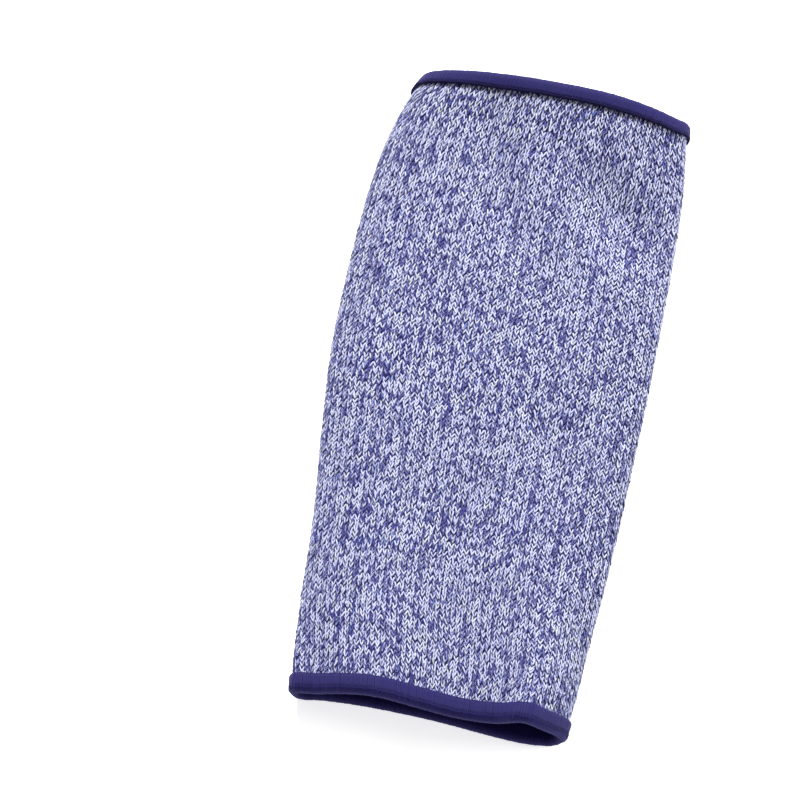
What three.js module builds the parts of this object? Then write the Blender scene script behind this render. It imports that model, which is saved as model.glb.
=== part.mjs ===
// A short knitted arm sleeve of cut resistant yarn, lying on a table as it rests by itself.
// It is a tapered tube, open at both ends. Its lower side lies flat, its upper side arches a little,
// and a thick overlocked band grips the knit's raw edge at the wrist and at the upper arm.
// Millimetres, +Z up. +Y runs from the wrist to the upper arm, and +X is to the right, seen from the wrist.
import * as THREE from "three";

// The knit, measured on its middle surface, halfway through the wall.
const KNIT_LENGTH = 250.5; // from the wrist edge to the upper edge
const WRIST_WIDTH = 96; // the flat width at the wrist edge
const BODY_WIDTH = 118; // the flat width where the sleeve is widest
const UPPER_WIDTH = 102; // the flat width at the upper edge, which its band gathers
const WRIST_HEIGHT = 16; // the arch of each of the same three sections
const BODY_HEIGHT = 17;
const UPPER_HEIGHT = 24;
const FOLD_RADIUS = 6; // of the two side folds, where the lower side turns up
const WALL = 1.8; // the knit's thickness

// The overlocked bands.
const WRIST_BAND_DEPTH = 7.6; // across the band, from its nose to where the knit goes in
const UPPER_BAND_DEPTH = 6.4;
const BAND_NOSE = 1.3; // how far the band reaches past the knit's raw edge
const THREAD_COVER = 1; // the thread on each side of the knit
const SEAT_CLEARANCE = 0.3; // between the knit and the thread round it

// How far the edges' waves and the bands' thickness are felt along the sleeve.
const WAVE_REACH = 72;
const BED_REACH = 16;

// The arch of the upper side is a superellipse.
const ARCH_FLATNESS = 2.6;
const ARCH_ROUND = 0.5;

// Each section opens from the wrist's size (0) to the body's (1), and is gathered from there (0) to the
// upper edge's size (1). sway is a sideways drift, as a share of BODY_WIDTH.
const SECTIONS = [
  { along: 0, opened: 0, gathered: 0, sway: -0.002 },
  { along: 0.05, opened: 0.17, gathered: 0, sway: -0.005 },
  { along: 0.14, opened: 0.33, gathered: 0, sway: -0.009 },
  { along: 0.28, opened: 0.54, gathered: 0, sway: -0.01 },
  { along: 0.42, opened: 0.78, gathered: 0, sway: -0.022 },
  { along: 0.56, opened: 0.97, gathered: 0, sway: -0.033 },
  { along: 0.7, opened: 1, gathered: 0, sway: -0.034 },
  { along: 0.82, opened: 1, gathered: 0.07, sway: -0.031 },
  { along: 0.91, opened: 1, gathered: 0.34, sway: -0.024 },
  { along: 0.965, opened: 1, gathered: 0.72, sway: -0.014 },
  { along: 1, opened: 1, gathered: 1, sway: -0.002 },
];

// The waves of the two edges. across runs from the left fold (-1) to the right one (1). reach is how far
// the edge bows out, as a share of that edge's width, and lift is the upper side's extra height, as a
// share of that edge's height. tuck is how much further in the lower side of the wrist's edge lies.
const WRIST_RIM = [
  { across: -1, reach: 0, lift: 0, tuck: 0 },
  { across: -0.85, reach: 0.001, lift: -0.06, tuck: 0.02 },
  { across: -0.62, reach: 0.001, lift: 0.12, tuck: 0.028 },
  { across: -0.38, reach: 0, lift: 0.2, tuck: 0.028 },
  { across: -0.05, reach: 0.001, lift: -0.02, tuck: 0.024 },
  { across: 0.22, reach: 0.007, lift: -0.1, tuck: 0.02 },
  { across: 0.5, reach: 0.016, lift: 0.14, tuck: 0.016 },
  { across: 0.72, reach: 0.019, lift: 0.57, tuck: 0.013 },
  { across: 0.88, reach: 0.011, lift: 0.32, tuck: 0.01 },
  { across: 1, reach: -0.008, lift: 0, tuck: 0 },
];
const UPPER_RIM = [
  { across: -1, reach: 0.072, lift: 0 },
  { across: -0.95, reach: 0.071, lift: 0.08 },
  { across: -0.85, reach: 0.068, lift: 0.09 },
  { across: -0.7, reach: 0.069, lift: 0.06 },
  { across: -0.4, reach: 0.073, lift: 0.03 },
  { across: 0, reach: 0.073, lift: 0 },
  { across: 0.4, reach: 0.067, lift: 0 },
  { across: 0.8, reach: 0.056, lift: -0.02 },
  { across: 0.93, reach: 0.058, lift: -0.03 },
  { across: 1, reach: 0.07, lift: 0 },
];

// Soft dents in the upper side. wide and long are shares of BODY_WIDTH, deep of BODY_HEIGHT, and turn is
// the angle in degrees by which the dent's long way leans from the sleeve's own.
const DENTS = [
  { across: 0.68, along: 0.825, wide: 0.1, long: 0.2, turn: 50, deep: 0.42 },
  { across: -0.27, along: 0.9, wide: 0.08, long: 0.16, turn: 20, deep: 0.16 },
  { across: -0.05, along: 0.79, wide: 0.08, long: 0.15, turn: 35, deep: 0.14 },
  { across: 0.5, along: 0.435, wide: 0.09, long: 0.18, turn: 12, deep: 0.19 },
  { across: 0.38, along: 0.7, wide: 0.08, long: 0.16, turn: -10, deep: 0.07 },
  { across: 0.05, along: 0.3, wide: 0.1, long: 0.22, turn: -20, deep: 0.09 },
];

const AROUND = 60; // points round a section of the finished meshes
const ROWS = 18; // sections between the two bands
const EVEN_SPACING = 0.5; // the share of their spacing that is even, the rest favours the folds
const FINE = 720; // points of the curve that a section is measured on
const FINE_CROWDING = 0.8; // below 1, it spreads those points away from the folds
const STEP = 0.002; // share of the length over which a slope is taken

const BAND_HALF = WALL / 2 + SEAT_CLEARANCE + THREAD_COVER;
const WRIST_MOUTH = WRIST_BAND_DEPTH - BAND_NOSE; // how deep each band covers the knit
const UPPER_MOUTH = UPPER_BAND_DEPTH - BAND_NOSE;

// The value of one column of a table at a place between its rows, on a smooth curve through them.
function column(rows, key, name, at) {
  const last = rows.length - 1;
  const x = Math.min(Math.max(at, rows[0][key]), rows[last][key]);
  let i = 0;
  while (i < last - 1 && x > rows[i + 1][key]) i += 1;
  const slope = (k) => {
    const low = rows[Math.max(k - 1, 0)];
    const high = rows[Math.min(k + 1, last)];
    return (high[name] - low[name]) / (high[key] - low[key]);
  };
  const span = rows[i + 1][key] - rows[i][key];
  const t = (x - rows[i][key]) / span;
  const t2 = t * t;
  const t3 = t2 * t;
  return (
    (2 * t3 - 3 * t2 + 1) * rows[i][name] +
    (t3 - 2 * t2 + t) * span * slope(i) +
    (3 * t2 - 2 * t3) * rows[i + 1][name] +
    (t3 - t2) * span * slope(i + 1)
  );
}

// 1 at an edge, falling smoothly to 0 at the given distance from it.
function fade(distance, reach) {
  const t = Math.min(Math.max(1 - distance / reach, 0), 1);
  return t * t * (3 - 2 * t);
}

// How deep the dents press the upper side in at a place.
function dentDepth(across, along, half) {
  let depth = 0;
  for (const dent of DENTS) {
    const x = (across - dent.across) * half;
    const y = (along - dent.along) * KNIT_LENGTH;
    const turn = THREE.MathUtils.degToRad(dent.turn);
    const wide = (x * Math.cos(turn) + y * Math.sin(turn)) / (dent.wide * BODY_WIDTH);
    const long = (y * Math.cos(turn) - x * Math.sin(turn)) / (dent.long * BODY_WIDTH);
    depth += dent.deep * BODY_HEIGHT * Math.exp(-wide * wide - long * long);
  }
  return depth;
}

// One closed section of the middle surface, as FINE points that start at the right fold, go over the
// upper side to the left fold and come back underneath.
function fineSection(along) {
  const opened = column(SECTIONS, "along", "opened", along);
  const gathered = column(SECTIONS, "along", "gathered", along);
  const sized = (wrist, body, upper) => wrist + (body - wrist) * opened + (upper - body) * gathered;
  const half = sized(WRIST_WIDTH, BODY_WIDTH, UPPER_WIDTH) / 2;
  const top = sized(WRIST_HEIGHT, BODY_HEIGHT, UPPER_HEIGHT);
  const sway = column(SECTIONS, "along", "sway", along) * BODY_WIDTH;
  const fromWrist = along * KNIT_LENGTH;
  const fromUpper = (1 - along) * KNIT_LENGTH;
  const nearWrist = fade(fromWrist, WAVE_REACH);
  const nearUpper = fade(fromUpper, WAVE_REACH);
  // The knit lies on the table, and rises at each end by what the band under it is thicker.
  const onBand = Math.max(
    fade(fromWrist - WRIST_MOUTH, BED_REACH),
    fade(fromUpper - UPPER_MOUTH, BED_REACH),
  );
  const bed = WALL / 2 + (BAND_HALF - WALL / 2) * onBand;
  const points = [];
  for (let i = 0; i < FINE; i += 1) {
    const angle = (2 * Math.PI * i) / FINE;
    const across = Math.sign(Math.cos(angle)) * Math.abs(Math.cos(angle)) ** FINE_CROWDING;
    let y =
      fromWrist -
      column(WRIST_RIM, "across", "reach", across) * WRIST_WIDTH * nearWrist +
      column(UPPER_RIM, "across", "reach", across) * UPPER_WIDTH * nearUpper;
    let z;
    if (Math.sin(angle) >= 0) {
      const arch = Math.abs(1 - Math.abs(across) ** ARCH_FLATNESS) ** ARCH_ROUND;
      const lift =
        column(WRIST_RIM, "across", "lift", across) * WRIST_HEIGHT * nearWrist +
        column(UPPER_RIM, "across", "lift", across) * UPPER_HEIGHT * nearUpper;
      z = bed + FOLD_RADIUS + (top - bed - FOLD_RADIUS) * arch + lift;
      z -= dentDepth(across, along, half) * arch;
    } else {
      const inFold = Math.max(half * Math.abs(across) - (half - FOLD_RADIUS), 0);
      z = bed + FOLD_RADIUS - Math.sqrt(Math.max(FOLD_RADIUS ** 2 - inFold ** 2, 0));
      y += column(WRIST_RIM, "across", "tuck", across) * WRIST_WIDTH * nearWrist;
    }
    points.push(new THREE.Vector3(half * across + sway, y, z));
  }
  return points;
}

// The same section as AROUND points. Part of their spacing follows the length along the section, and the
// rest follows the angle, which gives the two folds more of them.
function section(along) {
  const fine = fineSection(along);
  const lengths = [0];
  fine.forEach((point, i) => lengths.push(lengths[i] + point.distanceTo(fine[(i + 1) % FINE])));
  const share = lengths.map(
    (length, i) => (EVEN_SPACING * length) / lengths[FINE] + ((1 - EVEN_SPACING) * i) / FINE,
  );
  const points = [];
  let i = 0;
  for (let k = 0; k < AROUND; k += 1) {
    while (share[i + 1] < k / AROUND) i += 1;
    const part = (k / AROUND - share[i]) / (share[i + 1] - share[i]);
    points.push(fine[i].clone().lerp(fine[(i + 1) % FINE], part));
  }
  return points;
}

// A section's points, the way along the sleeve at each and the way out of the tube at each.
function framedSection(along) {
  const points = section(along);
  const before = section(Math.max(along - STEP, 0));
  const after = section(Math.min(along + STEP, 1));
  const ways = points.map((_, k) => after[k].clone().sub(before[k]).normalize());
  const outs = points.map((_, k) => {
    const round = points[(k + 1) % AROUND].clone().sub(points[(k + AROUND - 1) % AROUND]);
    return round.cross(ways[k]).negate().normalize();
  });
  return { points, ways, outs };
}

// A closed solid from rows of points that close on themselves both ways. inward is for rows that run the
// other way round the solid, which turns its faces over.
function ringSolid(rows, inward = false) {
  const count = rows[0].length;
  const positions = rows.flatMap((row) => row.flatMap((point) => point.toArray()));
  const index = [];
  rows.forEach((_, r) => {
    const next = (r + 1) % rows.length;
    for (let k = 0; k < count; k += 1) {
      const after = (k + 1) % count;
      const [a, b, c, d] = [r * count + k, r * count + after, next * count + after, next * count + k];
      if (inward) index.push(a, b, c, a, c, d);
      else index.push(a, c, b, a, d, c);
    }
  });
  const geometry = new THREE.BufferGeometry();
  geometry.setAttribute("position", new THREE.Float32BufferAttribute(positions, 3));
  geometry.setIndex(index);
  geometry.computeVertexNormals();
  return geometry;
}

// The points of a section moved out of the tube by an offset, or into it by a negative one.
function offsetRow(framed, offset) {
  return framed.points.map((point, k) => point.clone().addScaledVector(framed.outs[k], offset));
}

// The tube of knit: its outside from the wrist to the upper edge, then its inside back again. It has
// sections at the mouth of each band and halfway into it.
function knitTube() {
  const first = WRIST_MOUTH / KNIT_LENGTH;
  const last = 1 - UPPER_MOUTH / KNIT_LENGTH;
  const stations = [0, first / 2];
  for (let i = 0; i <= ROWS; i += 1) stations.push(first + ((last - first) * i) / ROWS);
  stations.push((1 + last) / 2, 1);
  const framed = stations.map(framedSection);
  const outside = framed.map((row) => offsetRow(row, WALL / 2));
  const inside = framed.map((row) => offsetRow(row, -WALL / 2)).reverse();
  return ringSolid([...outside, ...inside]);
}

// The band's own section. depth runs from the knit's raw edge into the sleeve, and out is measured from
// the knit's middle surface. It is a rounded bar with a channel that the knit's edge sits in.
function bandSection(mouth) {
  const channel = WALL / 2 + SEAT_CLEARANCE;
  const half = [
    { depth: 0, out: channel },
    { depth: mouth / 2, out: channel },
    { depth: mouth, out: channel },
    { depth: mouth, out: BAND_HALF - 0.4 * THREAD_COVER },
    { depth: 0.85 * mouth, out: BAND_HALF },
    { depth: 0, out: 0.96 * BAND_HALF },
    { depth: -0.55 * BAND_NOSE, out: 0.74 * BAND_HALF },
    { depth: -0.9 * BAND_NOSE, out: 0.38 * BAND_HALF },
  ];
  const mirrored = half.map(({ depth, out }) => ({ depth, out: -out })).reverse();
  return [
    ...half,
    { depth: -BAND_NOSE, out: 0 },
    ...mirrored,
    { depth: -SEAT_CLEARANCE, out: -channel },
    { depth: -SEAT_CLEARANCE, out: channel },
  ];
}

// A band round one edge of the knit. inwards is 1 at the wrist edge and -1 at the upper one. Its rows run
// as the knit's do beside them, so that the facets on both sides of the clearance are alike.
function edgeBand(edge, inwards, mouth) {
  const rim = framedSection(edge);
  const rows = bandSection(mouth).map(({ depth, out }) => {
    if (depth > 0) return offsetRow(framedSection(edge + (inwards * depth) / KNIT_LENGTH), out);
    return offsetRow(rim, out).map((point, k) =>
      point.addScaledVector(rim.ways[k], inwards * depth),
    );
  });
  return ringSolid(inwards > 0 ? rows : rows.reverse(), true);
}

function knitMaterial() {
  return new THREE.MeshStandardMaterial({ color: 0x8f92bd, roughness: 0.92, metalness: 0 });
}

function bandMaterial() {
  return new THREE.MeshStandardMaterial({ color: 0x322e6e, roughness: 0.78, metalness: 0 });
}

function piece(name, geometry, material) {
  const mesh = new THREE.Mesh(geometry, material);
  mesh.name = name;
  return mesh;
}

const sleeve = new THREE.Group();
sleeve.add(piece("knit_tube", knitTube(), knitMaterial()));
sleeve.add(piece("wrist_edge_band", edgeBand(0, 1, WRIST_MOUTH), bandMaterial()));
sleeve.add(piece("upper_edge_band", edgeBand(1, -1, UPPER_MOUTH), bandMaterial()));

// The origin is on the table, under the middle of the sleeve.
const box = new THREE.Box3().setFromObject(sleeve);
const middle = box.getCenter(new THREE.Vector3());
sleeve.position.set(-middle.x, -middle.y, -box.min.z);

export default sleeve;
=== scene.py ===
# %% [markdown]
# # A knitted arm sleeve
# This script dresses a short sleeve of cut resistant yarn that lies on a table. The real one is a
# tube of jersey knit in white and blue marled yarn, and both of its ends are bound by thick dark blue
# overlock stitching. The script first gets the camera and the form right, then knits the tube loop
# by loop, wraps the edges thread by thread, and lights it like a product picture.

# %% Load the fixed frame
import math

import bpy
import numpy as np
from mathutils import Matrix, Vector


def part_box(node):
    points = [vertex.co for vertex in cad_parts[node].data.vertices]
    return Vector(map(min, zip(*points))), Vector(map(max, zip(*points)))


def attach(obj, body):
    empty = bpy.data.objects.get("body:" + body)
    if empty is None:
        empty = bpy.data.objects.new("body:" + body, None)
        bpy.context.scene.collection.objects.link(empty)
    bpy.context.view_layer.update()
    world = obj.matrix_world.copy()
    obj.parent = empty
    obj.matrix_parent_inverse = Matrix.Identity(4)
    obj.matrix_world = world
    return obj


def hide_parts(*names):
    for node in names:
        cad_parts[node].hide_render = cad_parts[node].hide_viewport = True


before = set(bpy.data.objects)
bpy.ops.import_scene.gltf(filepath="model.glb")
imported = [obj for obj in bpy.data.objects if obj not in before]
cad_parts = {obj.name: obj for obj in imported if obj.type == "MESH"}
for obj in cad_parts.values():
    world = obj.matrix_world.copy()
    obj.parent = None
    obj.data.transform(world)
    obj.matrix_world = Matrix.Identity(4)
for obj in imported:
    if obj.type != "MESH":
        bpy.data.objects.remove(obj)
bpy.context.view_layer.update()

# %% [markdown]
# ## The camera
# The sleeve is seen from the wrist end, from high up and a little to the right. A long lens keeps the
# tube's sides almost parallel, as in a catalogue picture. The target lies beside the sleeve, because
# the sleeve fills the right half of the picture.

# %% Set the camera
AZIMUTH = math.radians(11)
ELEVATION = math.radians(62)
DISTANCE = 1.5
target = Vector((-0.0306, -0.0019, 0))
towards_camera = Vector(
    (
        math.sin(AZIMUTH) * math.cos(ELEVATION),
        -math.cos(AZIMUTH) * math.cos(ELEVATION),
        math.sin(ELEVATION),
    )
)
camera = bpy.data.objects.new("camera", bpy.data.cameras.new("camera"))
camera.data.sensor_width = 36
camera.data.lens = 182.25
camera.data.clip_start = 0.05
camera.data.clip_end = 20
camera.location = target + DISTANCE * towards_camera
camera.rotation_euler = towards_camera.to_track_quat("Z", "Y").to_euler()
bpy.context.scene.collection.objects.link(camera)
bpy.context.scene.camera = camera
print("camera at", [round(v, 3) for v in camera.location])

# %% [markdown]
# ## The sleeve's form
# Cloth that lies still has one smooth middle surface. Here it comes from a few sizes in millimetres
# and four short tables, the same ones that the solid tube was made from: how wide and tall each
# section is, how the two edges wave, and where soft dents press the upper side in. Both the wall and
# every stitch then follow this one surface, so nothing has to be fitted to anything else.

# %% Name the sizes, in millimetres
KNIT_LENGTH = 250.5
WRIST_WIDTH, BODY_WIDTH, UPPER_WIDTH = 96, 118, 102
WRIST_HEIGHT, BODY_HEIGHT, UPPER_HEIGHT = 16, 17, 24
FOLD_RADIUS = 6
WALL = 1.8
MOUTHS = {"wrist": 6.3, "upper": 5.1}
BAND_NOSE, THREAD_COVER, SEAT_CLEARANCE = 1.3, 1.0, 0.3
WAVE_REACH, BED_REACH = 72, 16
ARCH_FLATNESS, ARCH_ROUND = 2.6, 0.5
BAND_HALF = WALL / 2 + SEAT_CLEARANCE + THREAD_COVER
MM = 0.001

# %% Write down the tables
SECTIONS = {
    "along": (0, 0.05, 0.14, 0.28, 0.42, 0.56, 0.7, 0.82, 0.91, 0.965, 1),
    "opened": (0, 0.17, 0.33, 0.54, 0.78, 0.97, 1, 1, 1, 1, 1),
    "gathered": (0, 0, 0, 0, 0, 0, 0, 0.07, 0.34, 0.72, 1),
    "sway": (-0.002, -0.005, -0.009, -0.01, -0.022, -0.033, -0.034, -0.031, -0.024, -0.014, -0.002),
}
WRIST_RIM = {
    "across": (-1, -0.85, -0.62, -0.38, -0.05, 0.22, 0.5, 0.72, 0.88, 1),
    "reach": (0, 0.001, 0.001, 0, 0.001, 0.007, 0.016, 0.019, 0.011, -0.008),
    "lift": (0, -0.06, 0.12, 0.2, -0.02, -0.1, 0.14, 0.57, 0.32, 0),
    "tuck": (0, 0.02, 0.028, 0.028, 0.024, 0.02, 0.016, 0.013, 0.01, 0),
}
UPPER_RIM = {
    "across": (-1, -0.95, -0.85, -0.7, -0.4, 0, 0.4, 0.8, 0.93, 1),
    "reach": (0.072, 0.071, 0.068, 0.069, 0.073, 0.073, 0.067, 0.056, 0.058, 0.07),
    "lift": (0, 0.08, 0.09, 0.06, 0.03, 0, 0, -0.02, -0.03, 0),
}
DENTS = (  # across, along, wide, long, turn in degrees, deep
    (0.68, 0.825, 0.1, 0.2, 50, 0.42),
    (-0.27, 0.9, 0.08, 0.16, 20, 0.16),
    (-0.05, 0.79, 0.08, 0.15, 35, 0.14),
    (0.5, 0.435, 0.09, 0.18, 12, 0.19),
    (0.38, 0.7, 0.08, 0.16, -10, 0.07),
    (0.05, 0.3, 0.1, 0.22, -20, 0.09),
)
print(len(SECTIONS["along"]), "sections and", len(DENTS), "dents")


# %% Read a smooth curve out of a table
def column(table, key, name, at):
    xs = np.array(table[key], float)
    ys = np.array(table[name], float)
    before = np.maximum(np.arange(len(xs)) - 1, 0)
    after = np.minimum(np.arange(len(xs)) + 1, len(xs) - 1)
    slopes = (ys[after] - ys[before]) / (xs[after] - xs[before])
    at = np.clip(at, xs[0], xs[-1])
    i = np.clip(np.searchsorted(xs, at, side="right") - 1, 0, len(xs) - 2)
    span = xs[i + 1] - xs[i]
    t = (at - xs[i]) / span
    start = (2 * t**3 - 3 * t**2 + 1) * ys[i] + (t**3 - 2 * t**2 + t) * span * slopes[i]
    end = (3 * t**2 - 2 * t**3) * ys[i + 1] + (t**3 - t**2) * span * slopes[i + 1]
    return start + end


def fade(distance, reach):
    t = np.clip(1 - distance / reach, 0, 1)
    return t * t * (3 - 2 * t)


print("width at mid length:", round(float(column(SECTIONS, "along", "opened", 0.5)), 3))


# %% Work out one section of the middle surface
def dent_depth(across, along, half):
    depth = np.zeros_like(across)
    for middle, place, wide, long, turn, deep in DENTS:
        x = (across - middle) * half
        y = (along - place) * KNIT_LENGTH
        lean = math.radians(turn)
        u = (x * math.cos(lean) + y * math.sin(lean)) / (wide * BODY_WIDTH)
        v = (y * math.cos(lean) - x * math.sin(lean)) / (long * BODY_WIDTH)
        depth += deep * BODY_HEIGHT * np.exp(-u * u - v * v)
    return depth


def fine_section(along):
    opened = column(SECTIONS, "along", "opened", along)
    gathered = column(SECTIONS, "along", "gathered", along)
    half = (WRIST_WIDTH + (BODY_WIDTH - WRIST_WIDTH) * opened + (UPPER_WIDTH - BODY_WIDTH) * gathered) / 2
    top = WRIST_HEIGHT + (BODY_HEIGHT - WRIST_HEIGHT) * opened + (UPPER_HEIGHT - BODY_HEIGHT) * gathered
    from_wrist = along * KNIT_LENGTH
    from_upper = (1 - along) * KNIT_LENGTH
    near_wrist = fade(from_wrist, WAVE_REACH)
    near_upper = fade(from_upper, WAVE_REACH)
    on_band = max(
        fade(from_wrist - MOUTHS["wrist"], BED_REACH),
        fade(from_upper - MOUTHS["upper"], BED_REACH),
    )
    bed = WALL / 2 + (BAND_HALF - WALL / 2) * on_band
    angle = 2 * math.pi * np.arange(720) / 720
    across = np.sign(np.cos(angle)) * np.abs(np.cos(angle)) ** 0.8
    y = from_wrist - column(WRIST_RIM, "across", "reach", across) * WRIST_WIDTH * near_wrist
    y = y + column(UPPER_RIM, "across", "reach", across) * UPPER_WIDTH * near_upper
    arch = np.abs(1 - np.abs(across) ** ARCH_FLATNESS) ** ARCH_ROUND
    lift = column(WRIST_RIM, "across", "lift", across) * WRIST_HEIGHT * near_wrist
    lift = lift + column(UPPER_RIM, "across", "lift", across) * UPPER_HEIGHT * near_upper
    over = bed + FOLD_RADIUS + (top - bed - FOLD_RADIUS) * arch + lift
    over = over - dent_depth(across, along, half) * arch
    in_fold = np.maximum(half * np.abs(across) - (half - FOLD_RADIUS), 0)
    under = bed + FOLD_RADIUS - np.sqrt(np.maximum(FOLD_RADIUS**2 - in_fold**2, 0))
    above = np.sin(angle) >= 0
    tuck = column(WRIST_RIM, "across", "tuck", across) * WRIST_WIDTH * near_wrist
    y = np.where(above, y, y + tuck)
    z = np.where(above, over, under)
    x = half * across + column(SECTIONS, "along", "sway", along) * BODY_WIDTH
    return np.stack([x, y, z], axis=1)


def even_section(along, count):
    fine = fine_section(along)
    closed = np.vstack([fine, fine[:1]])
    lengths = np.r_[0, np.cumsum(np.linalg.norm(np.diff(closed, axis=0), axis=1))]
    at = lengths[-1] * np.arange(count) / count
    return np.stack([np.interp(at, lengths, closed[:, k]) for k in range(3)], axis=1)


girth = [round(float(np.linalg.norm(np.diff(fine_section(a), axis=0), axis=1).sum())) for a in (0, 0.6, 1)]
print("round the wrist, the middle and the upper edge in mm:", girth)


# %% Add the direction out of the cloth
def framed(along, count):
    points = even_section(along, count)
    ways = even_section(min(along + 0.002, 1), count) - even_section(max(along - 0.002, 0), count)
    ways /= np.linalg.norm(ways, axis=1, keepdims=True)
    outs = np.cross(ways, np.roll(points, -1, axis=0) - np.roll(points, 1, axis=0))
    outs /= np.linalg.norm(outs, axis=1, keepdims=True)
    return points, ways, outs


def knit_rows(alongs, count, offset):
    rows = []
    for along in alongs:
        points, _, outs = framed(along, count)
        rows.append(points + offset * outs)
    return np.array(rows)


skin = knit_rows(np.linspace(0, 1, 24), 120, WALL / 2).reshape(-1, 3)
low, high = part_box("knit_tube")
middle = 0.5 * (np.array(low) + np.array(high)) / MM
SHIFT = middle - 0.5 * (skin.min(axis=0) + skin.max(axis=0))
SHIFT[2] = 0
print("the form moves by", [round(float(v), 2) for v in SHIFT], "mm to lie in the solid")


# %% [markdown]
# ## Cloth as a chart
# A knitter thinks of cloth as a flat chart: ribs count sideways and courses count lengthwise. The
# script keeps that idea. Each surface below is a grid whose UV map is such a chart, and a small node
# group lays flat work on it. So a loop, a stitch or a turn of binding thread is made flat once, and
# the group bends it round the sleeve with its height pointing out of the cloth. Nothing may sink into
# the table, so the group also holds every point above it.

# %% Make a surface with a chart on it
def link_object(name, mesh):
    made = bpy.data.objects.new(name, mesh)
    bpy.context.scene.collection.objects.link(made)
    return made


def chart_surface(name, rows, outs):
    count = rows.shape[1]
    mesh = bpy.data.meshes.new(name)
    r, c = np.meshgrid(np.arange(len(rows) - 1), np.arange(count), indexing="ij")
    after = (c + 1) % count
    faces = np.stack([r * count + c, r * count + after, (r + 1) * count + after, (r + 1) * count + c], -1)
    mesh.from_pydata(((rows + SHIFT) * MM).reshape(-1, 3).tolist(), [], faces.reshape(-1, 4).tolist())
    tall = len(rows) - 1
    u = np.stack([c, c + 1, c + 1, c], -1) / count
    v = np.stack([r, r, r + 1, r + 1], -1) / tall
    layer = mesh.uv_layers.new(name="chart")
    layer.data.foreach_set("uv", np.stack([u, v], -1).astype(np.float32).ravel())
    out = mesh.attributes.new("out", "FLOAT_VECTOR", "POINT")
    out.data.foreach_set("vector", outs.astype(np.float32).ravel())
    return link_object(name, mesh)


GRID_ROUND = 348
knit_alongs = np.linspace(0, 1, 151)
knit_frames = [framed(a, GRID_ROUND) for a in knit_alongs]
# Turned round, so that across and along run as on a page that is seen from outside.
knit_points = np.array([f[0][::-1] for f in knit_frames])
knit_outs = np.array([f[2][::-1] for f in knit_frames])
knit_surface = chart_surface("knit_surface", knit_points, knit_outs)
print(knit_surface.name, "has", len(knit_surface.data.polygons), "cells")


# %% Write small helpers for node trees
def socket_of(sockets, key):
    if isinstance(key, int):
        return sockets[key]
    return next(s for s in sockets if s.name == key and s.enabled)


def put(tree, kind, sockets=None, **settings):
    node = tree.nodes.new(kind)
    for name, value in settings.items():
        setattr(node, name, value)
    for key, value in (sockets or {}).items():
        socket = socket_of(node.inputs, key)
        if isinstance(value, bpy.types.NodeSocket):
            tree.links.new(value, socket)
        else:
            socket.default_value = value
    return node


def calc(tree, operation, *values):
    return put(tree, "ShaderNodeMath", dict(enumerate(values)), operation=operation).outputs[0]


def vector(tree, x, y, z):
    return put(tree, "ShaderNodeCombineXYZ", {"X": x, "Y": y, "Z": z}).outputs[0]


def parts_of(tree, value):
    return put(tree, "ShaderNodeSeparateXYZ", {0: value}).outputs


def new_tree(name, kind, inputs, outputs):
    tree = bpy.data.node_groups.new(name, kind)
    for label, shape in inputs:
        tree.interface.new_socket(name=label, in_out="INPUT", socket_type=f"NodeSocket{shape}")
    for label, shape in outputs:
        tree.interface.new_socket(name=label, in_out="OUTPUT", socket_type=f"NodeSocket{shape}")
    return tree, tree.nodes.new("NodeGroupInput").outputs, tree.nodes.new("NodeGroupOutput").inputs


# %% Build the node group that lays flat work on a surface
ABOVE_TABLE = 0.00002
lay, given, wanted = new_tree(
    "lay_on_surface",
    "GeometryNodeTree",
    [("Flat Work", "Geometry"), ("Surface", "Object"), ("Width", "Float"), ("Length", "Float")],
    [("Geometry", "Geometry")],
)
flat = parts_of(lay, put(lay, "GeometryNodeInputPosition").outputs[0])
across = calc(lay, "FRACT", calc(lay, "DIVIDE", flat["X"], given["Width"]))
along = calc(lay, "DIVIDE", flat["Y"], given["Length"])
along = calc(lay, "MINIMUM", calc(lay, "MAXIMUM", along, 0.0001), 0.9999)
place = vector(lay, across, along, 0.0)
surface = put(lay, "GeometryNodeObjectInfo", {"Object": given["Surface"]}).outputs["Geometry"]
chart = put(lay, "GeometryNodeInputNamedAttribute", {"Name": "chart"}, data_type="FLOAT_VECTOR")
out_way = put(lay, "GeometryNodeInputNamedAttribute", {"Name": "out"}, data_type="FLOAT_VECTOR")


def sampled(value):
    wires = {"Mesh": surface, "Value": value, "UV Map": chart.outputs[0], "Sample UV": place}
    node = put(lay, "GeometryNodeSampleUVSurface", data_type="FLOAT_VECTOR")
    for key, wire in wires.items():
        lay.links.new(wire, socket_of(node.inputs, key))
    return socket_of(node.outputs, "Value")


on_cloth = sampled(put(lay, "GeometryNodeInputPosition").outputs[0])
height = put(lay, "ShaderNodeVectorMath", {0: sampled(out_way.outputs[0])}, operation="SCALE")
lay.links.new(flat["Z"], height.inputs["Scale"])
raised = put(lay, "ShaderNodeVectorMath", {0: on_cloth, 1: height.outputs[0]}, operation="ADD")
found = parts_of(lay, raised.outputs[0])
on_table = vector(lay, found["X"], found["Y"], calc(lay, "MAXIMUM", found["Z"], ABOVE_TABLE))
moved = put(lay, "GeometryNodeSetPosition", {"Geometry": given["Flat Work"], "Position": on_table})
lay.links.new(moved.outputs[0], wanted["Geometry"])
print("lay_on_surface has", len(lay.nodes), "nodes")
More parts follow.
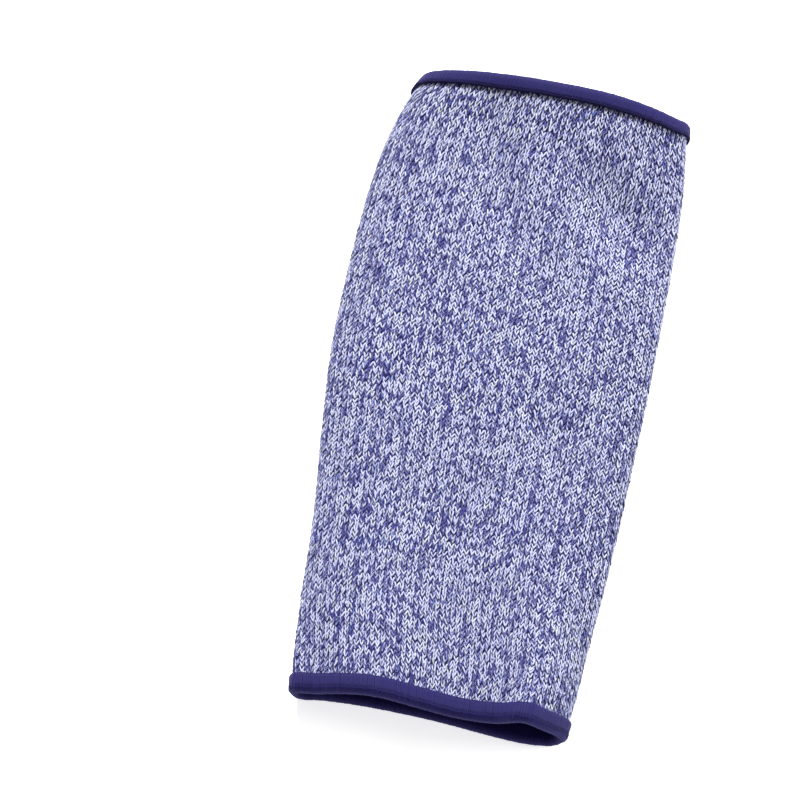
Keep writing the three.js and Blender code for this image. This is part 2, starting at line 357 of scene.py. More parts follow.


# %% [markdown]
# ## Yarn and thread
# Marled yarn is two plies of different colour twisted together, so a loop shows mostly white, mostly
# blue or a bit of each, and the same colour often runs on for some courses. A flat texture could fake
# that, but here the loops are real, so each loop carries its place in the chart and the material
# decides the loop's colour from it. The marl group also paints shade on each leg's underside, where
# neighbouring legs would shade it. Two shader groups are shared: one for fibres, one for the marl.

# %% Build the shared fibre group
fibres, given, wanted = new_tree(
    "spun_fibres",
    "ShaderNodeTree",
    [("Color", "Color"), ("Scale", "Float"), ("Variation", "Float"), ("Roughness", "Float")],
    [("Color", "Color"), ("Roughness", "Float"), ("Height", "Float")],
)
where = put(fibres, "ShaderNodeTexCoord").outputs["Object"]
fine = put(fibres, "ShaderNodeTexNoise", {"Vector": where, "Scale": given["Scale"], "Detail": 3.0})
fuzz = fine.outputs["Fac"]
shade = calc(fibres, "MULTIPLY_ADD", calc(fibres, "SUBTRACT", fuzz, 0.5), given["Variation"], 1.0)
tinted = put(fibres, "ShaderNodeVectorMath", {0: given["Color"]}, operation="SCALE")
fibres.links.new(shade, tinted.inputs["Scale"])
fibres.links.new(tinted.outputs[0], wanted["Color"])
rough = calc(fibres, "MULTIPLY_ADD", calc(fibres, "SUBTRACT", fuzz, 0.5), 0.2, given["Roughness"])
fibres.links.new(rough, wanted["Roughness"])
fibres.links.new(fuzz, wanted["Height"])
print("spun_fibres has", len(fibres.nodes), "nodes")

# %% Build the shared marl group
# How far each cause moves a point's share of white yarn.
BY_STREAK, BY_STITCH, BY_LEG, BY_PLY, BY_THIRD_WALE = 0.6, 0.3, 1.25, 0.25, 0.11
STREAK_ACROSS, STREAK_ALONG = 5.37, 0.27
PLY_TURNS_ALONG, PLY_TURNS_ACROSS = 2.1, 1.3
BLUE_BELOW, WHITE_ABOVE = 0.3, 0.62
WARM_SHARE, COLD_SHARE, COLD_LEGS = 0.75, 0.6, 0.93
# How dark the painted shade on a leg's underside gets.
DEEP_SHADE = 0.22
marl, given, wanted = new_tree(
    "marled_yarn",
    "ShaderNodeTree",
    [
        ("Loop", "Vector"),
        ("Strand", "Vector"),
        ("White", "Color"),
        ("Blue", "Color"),
        ("Warm", "Color"),
        ("Cold", "Color"),
        ("Share Of White", "Float"),
    ],
    [("Color", "Color")],
)
loop = parts_of(marl, given["Loop"])
strand = parts_of(marl, given["Strand"])
streak_x = calc(marl, "MULTIPLY", loop["X"], STREAK_ACROSS)
streak_at = vector(marl, streak_x, calc(marl, "MULTIPLY", loop["Y"], STREAK_ALONG), 3.7)
streaks = put(marl, "ShaderNodeTexNoise", {"Vector": streak_at, "Scale": 1.0, "Detail": 1.0}).outputs["Fac"]
by_leg = put(marl, "ShaderNodeTexWhiteNoise", {"Vector": given["Loop"]}).outputs
stitch_at = vector(marl, loop["X"], loop["Y"], 9.5)
by_stitch = put(marl, "ShaderNodeTexWhiteNoise", {"Vector": stitch_at}).outputs["Value"]
twist = calc(marl, "MULTIPLY", strand["X"], PLY_TURNS_ACROSS)
twist = calc(marl, "MULTIPLY_ADD", strand["Y"], PLY_TURNS_ALONG, twist)
twist = calc(marl, "MULTIPLY_ADD", by_leg["Value"], 6.28, twist)
ply = calc(marl, "SINE", twist)
third = calc(marl, "SINE", calc(marl, "MULTIPLY", loop["X"], 2 * math.pi / 3))
share = calc(marl, "MULTIPLY_ADD", calc(marl, "SUBTRACT", streaks, 0.5), BY_STREAK, given["Share Of White"])
share = calc(marl, "MULTIPLY_ADD", calc(marl, "SUBTRACT", by_stitch, 0.5), BY_STITCH, share)
share = calc(marl, "MULTIPLY_ADD", third, BY_THIRD_WALE, share)
share = calc(marl, "MULTIPLY_ADD", calc(marl, "SUBTRACT", by_leg["Value"], 0.5), BY_LEG, share)
share = calc(marl, "MULTIPLY_ADD", ply, BY_PLY, share)
white = put(
    marl,
    "ShaderNodeMapRange",
    {"Value": share, "From Min": BLUE_BELOW, "From Max": WHITE_ABOVE},
    interpolation_type="SMOOTHSTEP",
).outputs["Result"]
mix = put(marl, "ShaderNodeMix", {"Factor": white, "A": given["Blue"], "B": given["White"]}, data_type="RGBA")
hue = put(marl, "ShaderNodeSeparateColor", {"Color": by_leg["Color"]}).outputs
warm = put(
    marl,
    "ShaderNodeMapRange",
    {"Value": hue["Green"], "From Min": 0.5, "From Max": 1.0, "To Min": 0.0, "To Max": WARM_SHARE},
).outputs["Result"]
warm = calc(marl, "MULTIPLY", warm, white)
tint = put(marl, "ShaderNodeMix", {"Factor": warm}, data_type="RGBA")
marl.links.new(socket_of(mix.outputs, "Result"), socket_of(tint.inputs, "A"))
marl.links.new(given["Warm"], socket_of(tint.inputs, "B"))
cold = calc(marl, "MULTIPLY", calc(marl, "GREATER_THAN", hue["Blue"], COLD_LEGS), COLD_SHARE)
teal = put(marl, "ShaderNodeMix", {"Factor": cold}, data_type="RGBA")
marl.links.new(socket_of(tint.outputs, "Result"), socket_of(teal.inputs, "A"))
marl.links.new(given["Cold"], socket_of(teal.inputs, "B"))
# Painted shade: each leg's colour is darkened towards its underside, down to DEEP_SHADE, where neighbouring
# legs would shade it.
painted_leg_shade = put(
    marl,
    "ShaderNodeMapRange",
    {"Value": strand["Z"], "From Min": -0.1, "From Max": 0.8, "To Min": DEEP_SHADE, "To Max": 1.0},
    interpolation_type="SMOOTHSTEP",
).outputs["Result"]
shaded = put(marl, "ShaderNodeVectorMath", {0: socket_of(teal.outputs, "Result")}, operation="SCALE")
marl.links.new(painted_leg_shade, shaded.inputs["Scale"])
marl.links.new(shaded.outputs[0], wanted["Color"])
print("shader groups:", [g.name for g in bpy.data.node_groups if g.type == "SHADER"])


# %% Mix the finishes
def fabric(name, sheen, sheen_tint):
    material = bpy.data.materials.new(name)
    material.use_nodes = True
    tree = material.node_tree
    shader = tree.nodes["Principled BSDF"]
    shader.inputs["Sheen Weight"].default_value = sheen
    shader.inputs["Sheen Roughness"].default_value = 0.5
    shader.inputs["Sheen Tint"].default_value = (*sheen_tint, 1)
    shader.inputs["Specular IOR Level"].default_value = 0.15
    return material, tree, shader


def finish_with_fibres(tree, shader, colour, scale, variation, roughness, depth):
    group = put(tree, "ShaderNodeGroup", node_tree=fibres)
    for key, value in {"Scale": scale, "Variation": variation, "Roughness": roughness}.items():
        group.inputs[key].default_value = value
    if isinstance(colour, bpy.types.NodeSocket):
        tree.links.new(colour, group.inputs["Color"])
    else:
        group.inputs["Color"].default_value = colour
    relief = {"Height": group.outputs["Height"], "Distance": depth, "Strength": 0.6}
    bump = put(tree, "ShaderNodeBump", relief)
    tree.links.new(group.outputs["Color"], shader.inputs["Base Color"])
    tree.links.new(group.outputs["Roughness"], shader.inputs["Roughness"])
    tree.links.new(bump.outputs[0], shader.inputs["Normal"])
    return bump


def marled(tree, share):
    mixed = put(tree, "ShaderNodeGroup", node_tree=marl)
    colours = {"White": WHITE_PLY, "Blue": BLUE_PLY, "Warm": WARM_TINT, "Cold": COLD_TINT}
    for key, value in {**colours, "Share Of White": share}.items():
        mixed.inputs[key].default_value = value
    return mixed


WHITE_PLY = (0.53, 0.545, 0.78, 1)
BLUE_PLY = (0.042, 0.040, 0.225, 1)
WARM_TINT = (0.53, 0.56, 0.55, 1)
COLD_TINT = (0.06, 0.12, 0.38, 1)
# SHADOW_BLUE is painted shade: the colour of the yarn that lies deep between the loops.
SHADOW_BLUE = (0.022, 0.020, 0.10, 1)
THREAD_BLUE = (0.0125, 0.0098, 0.088, 1)

yarn, tree, shader = fabric("marled_yarn", 0.15, (0.9, 0.9, 1.0))
loop_place = put(tree, "ShaderNodeAttribute", attribute_name="loop").outputs["Vector"]
strand_place = put(tree, "ShaderNodeAttribute", attribute_name="strand").outputs["Vector"]
mixed = marled(tree, 0.55)
tree.links.new(loop_place, mixed.inputs["Loop"])
tree.links.new(strand_place, mixed.inputs["Strand"])
finish_with_fibres(tree, shader, mixed.outputs["Color"], 2600, 0.35, 0.86, 0.00008)
print("yarn finish has", len(tree.nodes), "nodes")

# %% [markdown]
# ## The tube's wall
# Between the loops the eye looks down on more yarn, in shade. A closed thin wall stands for it. Its
# outer face lies a little under the loops' crowns and is painted a dark shadow blue, as painted shade,
# and its inner face shows the knit's purl side, small bars that run round the arm. The bars are low
# and lie inside, so a bump is enough for their relief, and painted shade darkens the grooves between them.

# %% Finish the wall's two faces
# The wall's outer face is painted SHADOW_BLUE, a painted shade for the yarn between the loops.
ground, tree, shader = fabric("knit_ground_painted_shade", 0.1, (0.6, 0.6, 0.9))
finish_with_fibres(tree, shader, SHADOW_BLUE, 900, 0.8, 0.95, 0.0001)

WALES, COURSES = 116, 140
PURL_WAVE = 0.3
purl, tree, shader = fabric("purl_side", 0.15, (0.8, 0.8, 1.0))
chart_place = parts_of(tree, put(tree, "ShaderNodeUVMap", uv_map="chart").outputs[0])
wale = calc(tree, "MULTIPLY", chart_place["X"], float(WALES))
# The wall's chart runs up the outer face in its first half and back down the inner face, so the
# inner face has half of COURSES: its purl bars are twice as far apart as the loops outside.
course = calc(tree, "MULTIPLY", chart_place["Y"], float(COURSES))
wave = calc(tree, "SINE", calc(tree, "MULTIPLY", wale, 2 * math.pi))
course = calc(tree, "MULTIPLY_ADD", wave, PURL_WAVE, course)
bars = calc(tree, "ABSOLUTE", calc(tree, "SINE", calc(tree, "MULTIPLY", course, math.pi)))
humps = calc(tree, "ABSOLUTE", calc(tree, "SINE", calc(tree, "MULTIPLY", wale, math.pi)))
relief = calc(tree, "MULTIPLY", bars, calc(tree, "MULTIPLY_ADD", humps, 0.6, 0.4))
cell = vector(tree, calc(tree, "FLOOR", wale), calc(tree, "FLOOR", course), 0.0)
mixed = marled(tree, 0.42)
mixed.inputs["Strand"].default_value = (0, 0, 1)
tree.links.new(cell, mixed.inputs["Loop"])
# Painted shade: the purl colour is scaled by the relief, so the grooves between the bars go dark.
painted_groove_shade = put(tree, "ShaderNodeVectorMath", {0: mixed.outputs["Color"]}, operation="SCALE")
tree.links.new(relief, painted_groove_shade.inputs["Scale"])
fibre_bump = finish_with_fibres(tree, shader, painted_groove_shade.outputs[0], 1500, 0.4, 0.9, 0.0001)
bump = put(tree, "ShaderNodeBump", {"Height": relief, "Distance": 0.0005, "Strength": 1.0})
tree.links.new(fibre_bump.outputs[0], bump.inputs["Normal"])
tree.links.new(bump.outputs[0], shader.inputs["Normal"])
print("purl bars per millimetre:", round(COURSES / 2 / KNIT_LENGTH, 2))


# %% Make the wall
def ring_mesh(name, rows):
    count = rows.shape[1]
    tall = len(rows)
    mesh = bpy.data.meshes.new(name)
    r, c = np.meshgrid(np.arange(tall), np.arange(count), indexing="ij")
    after, below = (c + 1) % count, (r + 1) % tall
    faces = np.stack([r * count + c, r * count + after, below * count + after, below * count + c], -1)
    mesh.from_pydata(((rows + SHIFT) * MM).reshape(-1, 3).tolist(), [], faces.reshape(-1, 4).tolist())
    u = np.stack([c, c + 1, c + 1, c], -1) / count
    v = np.stack([r, r, r + 1, r + 1], -1) / tall
    layer = mesh.uv_layers.new(name="chart")
    layer.data.foreach_set("uv", np.stack([u, v], -1).astype(np.float32).ravel())
    mesh.shade_smooth()
    return mesh


OUTER_FACE, INNER_FACE = 0.3, -0.9
WALL_ROUND, WALL_ROWS = 232, 91
wall_frames = [framed(a, WALL_ROUND) for a in np.linspace(0, 1, WALL_ROWS)]
outer = np.array([f[0][::-1] + OUTER_FACE * f[2][::-1] for f in wall_frames])
inner = np.array([f[0][::-1] + INNER_FACE * f[2][::-1] for f in wall_frames])[::-1]
mesh = ring_mesh("sleeve_wall", np.concatenate([outer, inner]))
mesh.materials.append(ground)
mesh.materials.append(purl)
row_of_face = np.repeat(np.arange(2 * WALL_ROWS), WALL_ROUND)
inside = (row_of_face >= WALL_ROWS) & (row_of_face < 2 * WALL_ROWS - 1)
mesh.polygons.foreach_set("material_index", inside.astype(np.int32))
sleeve_wall = link_object("sleeve_wall", mesh)
print("wall:", len(mesh.polygons), "faces,", round(OUTER_FACE - INNER_FACE, 2), "mm thick")

# %% [markdown]
# ## The loops
# The right side of jersey shows columns of V shapes, and each V is the two legs of one loop. A leg is
# a short, plump piece of yarn that dives under its neighbours at both ends, so a stretched ball is
# close to its form. Geometry Nodes place two legs for each loop of the chart and lay them on the
# surface. Four runs of courses are made, because one mesh of all loops would be too heavy.

# %% Build the knitting tree
LEG_FROM_MIDDLE = 0.215  # of a wale
LEG_TILT = -0.16
PLACE_SLIP = (0.00014, 0.00045, 0.00012)
TURN_SLIP = (0.1, 0.2, 0.17)
HALF_SIZE_LOW, HALF_SIZE_HIGH = (0.42, 0.46, 0.44), (0.55, 0.56, 0.56)
knit, given, wanted = new_tree(
    "jersey_knit",
    "GeometryNodeTree",
    [
        ("Geometry", "Geometry"),
        ("Surface", "Object"),
        ("Wales", "Int"),
        ("First Course", "Int"),
        ("Courses", "Int"),
        ("Wale Width", "Float"),
        ("Course Height", "Float"),
        ("Length", "Float"),
        ("Leg Width", "Float"),
        ("Leg Length", "Float"),
        ("Leg Height", "Float"),
        ("Lean", "Float"),
        ("Dip", "Float"),
        ("Seed", "Int"),
        ("Material", "Material"),
    ],
    [("Geometry", "Geometry")],
)
loops = calc(knit, "MULTIPLY", given["Wales"], given["Courses"])
legs = put(knit, "GeometryNodePoints", {"Count": calc(knit, "MULTIPLY", loops, 2.0)}).outputs[0]
index = put(knit, "GeometryNodeInputIndex").outputs[0]
side = calc(knit, "MODULO", index, 2.0)
loop_index = calc(knit, "FLOOR", calc(knit, "DIVIDE", index, 2.0))
wale = calc(knit, "FLOORED_MODULO", loop_index, given["Wales"])
course = calc(knit, "FLOOR", calc(knit, "DIVIDE", calc(knit, "ADD", loop_index, 0.5), given["Wales"]))
course = calc(knit, "ADD", course, given["First Course"])
left_or_right = calc(knit, "MULTIPLY_ADD", side, 2.0, -1.0)
x = calc(knit, "MULTIPLY_ADD", left_or_right, LEG_FROM_MIDDLE, calc(knit, "ADD", wale, 0.5))
x = calc(knit, "MULTIPLY", x, given["Wale Width"])
y = calc(knit, "MULTIPLY", calc(knit, "ADD", course, 0.5), given["Course Height"])
spot = vector(knit, x, y, given["Dip"])


def chance(low, high, offset):
    node = put(knit, "FunctionNodeRandomValue", data_type="FLOAT_VECTOR")
    socket_of(node.inputs, "Min").default_value = low
    socket_of(node.inputs, "Max").default_value = high
    knit.links.new(calc(knit, "ADD", given["Seed"], float(offset)), socket_of(node.inputs, "Seed"))
    return socket_of(node.outputs, "Value")


wobble = chance([-v for v in PLACE_SLIP], PLACE_SLIP, 1)
spot = put(knit, "ShaderNodeVectorMath", {0: spot, 1: wobble}, operation="ADD").outputs[0]
legs = put(knit, "GeometryNodeSetPosition", {"Geometry": legs, "Position": spot}).outputs[0]
turn = calc(knit, "MULTIPLY", left_or_right, calc(knit, "MULTIPLY", given["Lean"], -1.0))
turn = vector(knit, LEG_TILT, 0.0, turn)
wobble = chance([-v for v in TURN_SLIP], TURN_SLIP, 2)
turn = put(knit, "ShaderNodeVectorMath", {0: turn, 1: wobble}, operation="ADD").outputs[0]
size = vector(knit, given["Leg Width"], given["Leg Length"], given["Leg Height"])
wobble = chance(HALF_SIZE_LOW, HALF_SIZE_HIGH, 3)
size = put(knit, "ShaderNodeVectorMath", {0: size, 1: wobble}, operation="MULTIPLY").outputs[0]
print("a leg may slip by", [round(1000 * v, 2) for v in PLACE_SLIP], "mm")

# %% Shape one leg, place the legs and chart their colours
SEGMENTS, RINGS = 5, 3
ball_size = {"Segments": SEGMENTS, "Rings": RINGS, "Radius": 1.0}
ball = put(knit, "GeometryNodeMeshUVSphere", ball_size).outputs[0]
ball = put(knit, "GeometryNodeTransform", {"Geometry": ball, "Rotation": (math.pi / 2, 0, 0)}).outputs[0]
on_leg = put(knit, "GeometryNodeInputPosition").outputs[0]
leg = put(
    knit,
    "GeometryNodeStoreNamedAttribute",
    {"Geometry": ball, "Name": "strand"},
    data_type="FLOAT_VECTOR",
    domain="POINT",
)
knit.links.new(on_leg, socket_of(leg.inputs, "Value"))
placed = put(knit, "GeometryNodeInstanceOnPoints", {"Points": legs, "Instance": leg.outputs[0]})
knit.links.new(turn, placed.inputs["Rotation"])
knit.links.new(size, placed.inputs["Scale"])
named = put(
    knit,
    "GeometryNodeStoreNamedAttribute",
    {"Geometry": placed.outputs[0], "Name": "loop"},
    data_type="FLOAT_VECTOR",
    domain="INSTANCE",
)
knit.links.new(vector(knit, wale, course, side), socket_of(named.inputs, "Value"))
real = put(knit, "GeometryNodeRealizeInstances", {"Geometry": named.outputs[0]}).outputs[0]
laid = put(knit, "GeometryNodeGroup", node_tree=lay)
knit.links.new(real, laid.inputs["Flat Work"])
knit.links.new(given["Surface"], laid.inputs["Surface"])
width = calc(knit, "MULTIPLY", given["Wales"], given["Wale Width"])
knit.links.new(width, laid.inputs["Width"])
knit.links.new(given["Length"], laid.inputs["Length"])
print("one leg has", SEGMENTS * RINGS, "faces")


# %% Give each leg a cell of its own on the texture map, and end the tree
def stored(name):
    node = put(knit, "GeometryNodeInputNamedAttribute", {"Name": name}, data_type="FLOAT_VECTOR")
    return parts_of(knit, node.outputs[0])


CELL_FILL = 0.4  # half of the cell that a leg's picture fills
loop = stored("loop")
strand = stored("strand")
u = calc(knit, "MULTIPLY_ADD", loop["X"], 2.0, calc(knit, "ADD", loop["Z"], 0.5))
u = calc(knit, "MULTIPLY_ADD", strand["X"], CELL_FILL, u)
u = calc(knit, "DIVIDE", u, calc(knit, "MULTIPLY", given["Wales"], 2.0))
v = calc(knit, "SUBTRACT", calc(knit, "ADD", loop["Y"], 0.5), given["First Course"])
v = calc(knit, "MULTIPLY_ADD", strand["Y"], CELL_FILL, v)
v = calc(knit, "DIVIDE", v, given["Courses"])
mapped = put(
    knit,
    "GeometryNodeStoreNamedAttribute",
    {"Geometry": laid.outputs[0], "Name": "OFBake"},
    data_type="FLOAT2",
    domain="CORNER",
)
knit.links.new(vector(knit, u, v, 0.0), socket_of(mapped.inputs, "Value"))
smooth = put(knit, "GeometryNodeSetShadeSmooth", {"Geometry": mapped.outputs[0]}).outputs[0]
dyed = put(knit, "GeometryNodeSetMaterial", {"Geometry": smooth, "Material": given["Material"]}).outputs[0]
knit.links.new(dyed, wanted["Geometry"])
print("jersey_knit has", len(knit.nodes), "nodes")


# %% Run a tree and keep its result as a plain mesh
def run_tree(name, tree, values):
    carrier = link_object(name, bpy.data.meshes.new(name + "_start"))
    modifier = carrier.modifiers.new("make", "NODES")
    modifier.node_group = tree
    ids = {s.name: s.identifier for s in tree.interface.items_tree if s.in_out == "INPUT"}
    for label, value in values.items():
        modifier[ids[label]] = value
    shown = carrier.evaluated_get(bpy.context.evaluated_depsgraph_get())
    mesh = bpy.data.meshes.new_from_object(shown)
    carrier.modifiers.remove(modifier)
    mesh.name = name
    carrier.data = mesh
    return carrier


CLOTH_WIDTH = 246
WALE_WIDTH = CLOTH_WIDTH / WALES
COURSE_HEIGHT = KNIT_LENGTH / COURSES
RUNS = {  # first course, number of courses
    "loops_near_wrist": (3, 34),
    "loops_below_middle": (37, 34),
    "loops_above_middle": (71, 34),
    "loops_near_upper_arm": (105, 33),
}
loop_pieces = []
for name, (first, count) in RUNS.items():
    piece = run_tree(
        name,
        knit,
        {
            "Surface": knit_surface,
            "Wales": WALES,
            "First Course": first,
            "Courses": count,
            "Wale Width": WALE_WIDTH * MM,
            "Course Height": COURSE_HEIGHT * MM,
            "Length": KNIT_LENGTH * MM,
            "Leg Width": 0.84 * MM,
            "Leg Length": 3.7 * MM,
            "Leg Height": 0.9 * MM,
            "Lean": math.radians(19),
            "Dip": 0.42 * MM,
            "Seed": 11 + first,
            "Material": yarn,
        },
    )
    loop_pieces.append(piece)
    print(name, len(piece.data.polygons), "faces")

# %% [markdown]
# ## The bound edges
# An overlock machine wraps the raw edge in thread, one turn for each stitch, so the edge becomes a
# firm round bar with fine ribs across it. The bar itself is made as a channel that the knit's edge
# sits in. The turns of thread are long thin rods, made flat and then laid round the bar's section.
# Two rows of small dark stitches run round each bar, where the needle and the looper lock the turns.


# %% Finish the binding
def banding(name, colour, variation, roughness):
    material, tree, shader = fabric(name, 0.08, (0.35, 0.3, 1.0))
    finish_with_fibres(tree, shader, colour, 3200, variation, roughness, 0.00005)
    return material


thread = banding("binding_thread", THREAD_BLUE, 0.5, 0.62)
# The bar under the turns is painted darker than the thread, as painted shade in the gaps between the turns.
thread_shade = banding("binding_core_painted_shade", (0.006, 0.005, 0.034, 1), 0.4, 0.9)
needle_thread = banding("needle_thread", (0.006, 0.005, 0.038, 1), 0.4, 0.7)
looper_thread = banding("looper_thread", (0.012, 0.009, 0.08, 1), 0.4, 0.7)
print("binding finishes:", [m.name for m in (thread, thread_shade, needle_thread, looper_thread)])


# %% Work out the bar's section
NOSE_CENTRE, CORNER = 1.2, 0.8
BAR_INSET = 0.28


def bar_profile(mouth, inset, steps):
    half = BAND_HALF - inset
    reach = NOSE_CENTRE + BAND_NOSE - inset
    rim = WALL / 2 + SEAT_CLEARANCE
    turn = np.linspace(0, math.pi / 2, 7)
    start = np.stack([mouth - CORNER + CORNER * np.cos(turn), rim + (half - rim) * np.sin(turn)], 1)
    turn = np.linspace(math.pi / 2, 3 * math.pi / 2, 19)
    nose = np.stack([NOSE_CENTRE + reach * np.cos(turn), half * np.sin(turn)], 1)
    end = start[::-1] * (1, -1)
    line = np.vstack([start, nose, end])
    lengths = np.r_[0, np.cumsum(np.linalg.norm(np.diff(line, axis=0), axis=1))]
    at = np.linspace(0, lengths[-1], steps)
    return np.stack([np.interp(at, lengths, line[:, k]) for k in range(2)], 1), float(lengths[-1])


def bar_rows(profile, edge, inwards, count):
    _, rim_ways, _ = framed(edge, count)
    rows = []
    for depth, out in profile:
        points, _, outs = framed(edge + inwards * max(depth, 0) / KNIT_LENGTH, count)
        shift = inwards * min(depth, 0) * rim_ways
        rows.append(points + out * outs + shift)
    rows = np.array(rows)
    return rows if inwards > 0 else rows[:, ::-1]


def outs_of(rows):
    round_it = np.roll(rows, -1, axis=1) - np.roll(rows, 1, axis=1)
    across_it = np.gradient(rows, axis=0)
    found = np.cross(round_it, across_it)
    return found / np.linalg.norm(found, axis=2, keepdims=True)


print("thread round the wrist's bar in mm:", round(bar_profile(MOUTHS["wrist"], BAR_INSET, 41)[1], 1))


# %% Build the binding tree
THREAD_SLIP = (0.00007, 0.0002, 0.00005)
TAPER_POWER, TAPER = 8.0, -0.6
bind, given, wanted = new_tree(
    "bound_edge",
    "GeometryNodeTree",
    [
        ("Geometry", "Geometry"),
        ("Surface", "Object"),
        ("Count", "Int"),
        ("Width", "Float"),
        ("Length", "Float"),
        ("Across", "Float"),
        ("Thread Width", "Float"),
        ("Thread Height", "Float"),
        ("Thread Length", "Float"),
        ("Slant", "Float"),
        ("Sides", "Int"),
        ("Steps", "Int"),
        ("Seed", "Int"),
        ("Material", "Material"),
    ],
    [("Geometry", "Geometry")],
)
index = put(bind, "GeometryNodeInputIndex").outputs[0]
turns = put(bind, "GeometryNodePoints", {"Count": given["Count"]}).outputs[0]
x = calc(bind, "DIVIDE", calc(bind, "ADD", index, 0.5), given["Count"])
spot = vector(bind, calc(bind, "MULTIPLY", x, given["Width"]), given["Across"], 0.0)
wobble = put(bind, "FunctionNodeRandomValue", data_type="FLOAT_VECTOR")
socket_of(wobble.inputs, "Min").default_value = [-v for v in THREAD_SLIP]
socket_of(wobble.inputs, "Max").default_value = THREAD_SLIP
bind.links.new(given["Seed"], socket_of(wobble.inputs, "Seed"))
spot = put(bind, "ShaderNodeVectorMath", {0: spot, 1: socket_of(wobble.outputs, "Value")}, operation="ADD")
turns = put(bind, "GeometryNodeSetPosition", {"Geometry": turns, "Position": spot.outputs[0]}).outputs[0]
rod = put(bind, "GeometryNodeMeshCylinder", {"Radius": 1.0, "Depth": 2.0})
bind.links.new(given["Sides"], rod.inputs["Vertices"])
bind.links.new(given["Steps"], rod.inputs["Side Segments"])
rod = put(bind, "GeometryNodeTransform", {"Geometry": rod.outputs[0], "Rotation": (math.pi / 2, 0, 0)})
place = put(bind, "GeometryNodeInputPosition").outputs[0]
bare = parts_of(bind, place)
taper = calc(bind, "POWER", calc(bind, "ABSOLUTE", bare["Y"]), TAPER_POWER)
taper = calc(bind, "MULTIPLY_ADD", taper, TAPER, 1.0)
thin_x = calc(bind, "MULTIPLY", bare["X"], taper)
thin_z = calc(bind, "MULTIPLY", bare["Z"], taper)
shaped = vector(bind, thin_x, bare["Y"], thin_z)
rod = put(bind, "GeometryNodeSetPosition", {"Geometry": rod.outputs[0], "Position": shaped}).outputs[0]
half_size = vector(
    bind,
    calc(bind, "MULTIPLY", given["Thread Width"], 0.5),
    calc(bind, "MULTIPLY", given["Thread Length"], 0.5),
    calc(bind, "MULTIPLY", given["Thread Height"], 0.5),
)
placed = put(bind, "GeometryNodeInstanceOnPoints", {"Points": turns, "Instance": rod})
bind.links.new(vector(bind, 0.0, 0.0, given["Slant"]), placed.inputs["Rotation"])
bind.links.new(half_size, placed.inputs["Scale"])
real = put(bind, "GeometryNodeRealizeInstances", {"Geometry": placed.outputs[0]}).outputs[0]
laid = put(bind, "GeometryNodeGroup", node_tree=lay)
bind.links.new(real, laid.inputs["Flat Work"])
for label in ("Surface", "Width", "Length"):
    bind.links.new(given[label], laid.inputs[label])
smooth = put(bind, "GeometryNodeSetShadeSmooth", {"Geometry": laid.outputs[0]}).outputs[0]
dyed = put(bind, "GeometryNodeSetMaterial", {"Geometry": smooth, "Material": given["Material"]}).outputs[0]
bind.links.new(dyed, wanted["Geometry"])
print("bound_edge has", len(bind.nodes), "nodes")


# %% Bind both edges
def perimeter(edge):
    points = even_section(edge, 400)
    return float(np.linalg.norm(points - np.roll(points, 1, axis=0), axis=1).sum())


THREAD_PITCH, THREAD_WIDTH, THREAD_HEIGHT = 0.74, 0.98, 0.42
THREAD_SLANT = 2.5
CHANNEL_GAP = 0.12
# Each row of stitches: its kind, how far in from the knit side of the bar it runs, the width, height
# and length of a stitch, its slant in degrees and its finish. Lengths are in millimetres.
ROWS_OF_STITCHES = {
    "wrist": (
        ("needle_row", 5.1, (0.4, 0.72, 1.5), 6, needle_thread),
        ("looper_ridge", 6.1, (0.66, 0.85, 0.7), -20, looper_thread),
    ),
    "upper": (
        ("needle_row", 0.8, (0.5, 0.8, 0.9), 20, needle_thread),
        ("second_row", 1.7, (0.45, 0.72, 0.6), -15, needle_thread),
    ),
}
bands = {}
for end, edge, inwards in (("wrist", 0, 1), ("upper", 1, -1)):
    mouth = MOUTHS[end]
    profile, turn_length = bar_profile(mouth, BAR_INSET, 41)
    rows = bar_rows(profile, edge, inwards, 464)
    surface = chart_surface(end + "_bar_surface", rows, outs_of(rows))
    around = perimeter(edge)
    count = round(around / THREAD_PITCH)
    channel = WALL / 2 + CHANNEL_GAP
    depths = (mouth - 0.1, mouth / 2, 0, -0.15)
    lining = np.array([(d, -channel) for d in depths] + [(d, channel) for d in depths[::-1]])
    body = np.concatenate([bar_rows(profile[::2], edge, inwards, 232), bar_rows(lining, edge, inwards, 232)])
    core_mesh = ring_mesh(end + "_edge_bar", body)
    core_mesh.materials.append(thread_shade)
    core = link_object(end + "_edge_bar", core_mesh)
    shared = {"Surface": surface, "Width": around * MM, "Length": turn_length * MM}
    wraps = run_tree(
        end + "_edge_threads",
        bind,
        {
            **shared,
            "Count": count,
            "Across": turn_length / 2 * MM,
            "Thread Width": THREAD_WIDTH * MM,
            "Thread Height": THREAD_HEIGHT * MM,
            "Thread Length": (turn_length - 0.5) * MM,
            "Slant": math.radians(THREAD_SLANT),
            "Sides": 6,
            "Steps": 18,
            "Seed": 5,
            "Material": thread,
        },
    )
    pieces = [core, wraps]
    for kind, across, size, slant, finish in ROWS_OF_STITCHES[end]:
        row = run_tree(
            f"{end}_edge_{kind}",
            bind,
            {
                **shared,
                "Count": count,
                "Across": across * MM,
                "Thread Width": size[0] * MM,
                "Thread Height": size[1] * MM,
                "Thread Length": size[2] * MM,
                "Slant": math.radians(slant),
                "Sides": 6,
                "Steps": 4,
                "Seed": 6,
                "Material": finish,
            },
        )
        pieces.append(row)
    bands[end] = (pieces, surface)
    print(end, "edge:", count, "turns of thread,", len(wraps.data.polygons), "faces")

# %% [markdown]
# ## Floor and light
# The picture is a soft white product shot. One wide soft lamp hangs above and behind the upper end, a
# weaker one stands at the right, and a pale sky fills the shadows, so the yarn's relief shows but
# nothing is harsh. The large pale floor glows a little, as paper on a light table does. That keeps
# the sleeve's shadow faint and sends light up at its edges.

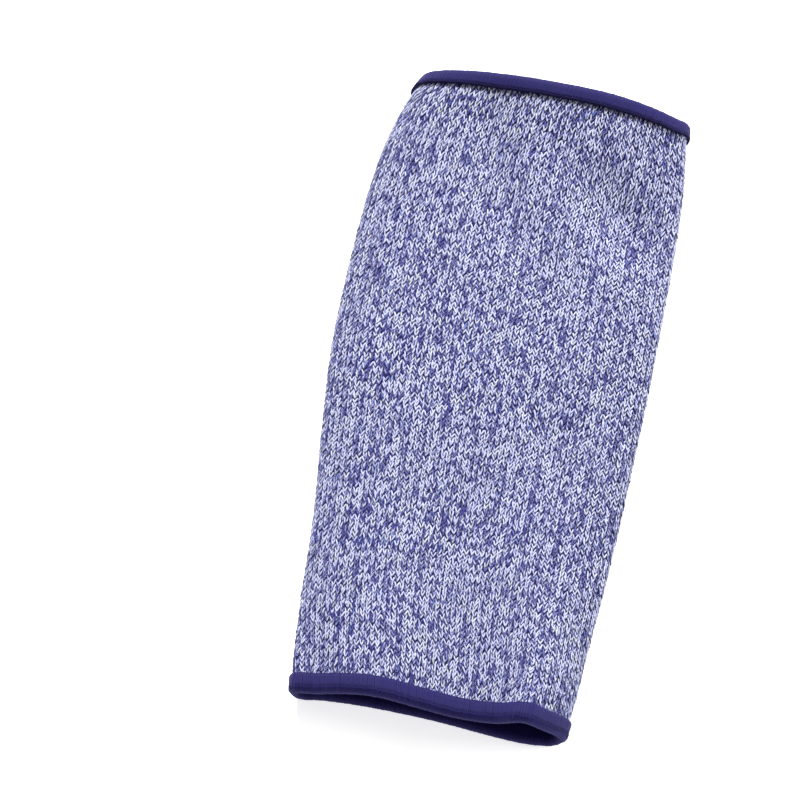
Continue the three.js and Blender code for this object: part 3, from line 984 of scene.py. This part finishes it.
# %% Set the stage
FLOOR_GLOW, SKY_STRENGTH = 0.7, 0.3
floor_mesh = bpy.data.meshes.new("floor")
floor_mesh.from_pydata([(-4, -4, 0), (4, -4, 0), (4, 4, 0), (-4, 4, 0)], [], [(0, 1, 2, 3)])
paper = bpy.data.materials.new("pale_floor")
paper.use_nodes = True
shader = paper.node_tree.nodes["Principled BSDF"]
shader.inputs["Base Color"].default_value = (0.92, 0.92, 0.92, 1)
shader.inputs["Roughness"].default_value = 1
shader.inputs["Specular IOR Level"].default_value = 0
shader.inputs["Emission Color"].default_value = (1, 1, 1, 1)
shader.inputs["Emission Strength"].default_value = FLOOR_GLOW
floor_mesh.materials.append(paper)
floor = link_object("floor", floor_mesh)

world = bpy.data.worlds.new("soft_sky")
world.use_nodes = True
world.node_tree.nodes["Background"].inputs["Color"].default_value = (1, 1, 1, 1)
world.node_tree.nodes["Background"].inputs["Strength"].default_value = SKY_STRENGTH
bpy.context.scene.world = world
bpy.context.scene.view_settings.view_transform = "Standard"


def soft_lamp(name, place, size, watts):
    lamp = bpy.data.lights.new(name, "AREA")
    lamp.shape = "RECTANGLE"
    lamp.size, lamp.size_y = size
    lamp.energy = watts
    made = bpy.data.objects.new(name, lamp)
    made.location = place
    made.rotation_euler = Vector(place).to_track_quat("Z", "Y").to_euler()
    bpy.context.scene.collection.objects.link(made)
    return made


soft_lamp("key_lamp", (-1.2, 2.6, 2.6), (1.1, 1.1), 290)
soft_lamp("side_lamp", (3.4, 0.8, 1.4), (1.6, 1.6), 115)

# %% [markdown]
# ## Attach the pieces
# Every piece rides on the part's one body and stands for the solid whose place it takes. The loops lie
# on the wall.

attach(sleeve_wall, "root")
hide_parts("knit_tube")
for piece in loop_pieces:
    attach(piece, "root")
for end, (pieces, surface) in bands.items():
    for piece in pieces:
        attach(piece, "root")
    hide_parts(end + "_edge_band")
    bpy.data.objects.remove(surface)
bpy.data.objects.remove(knit_surface)
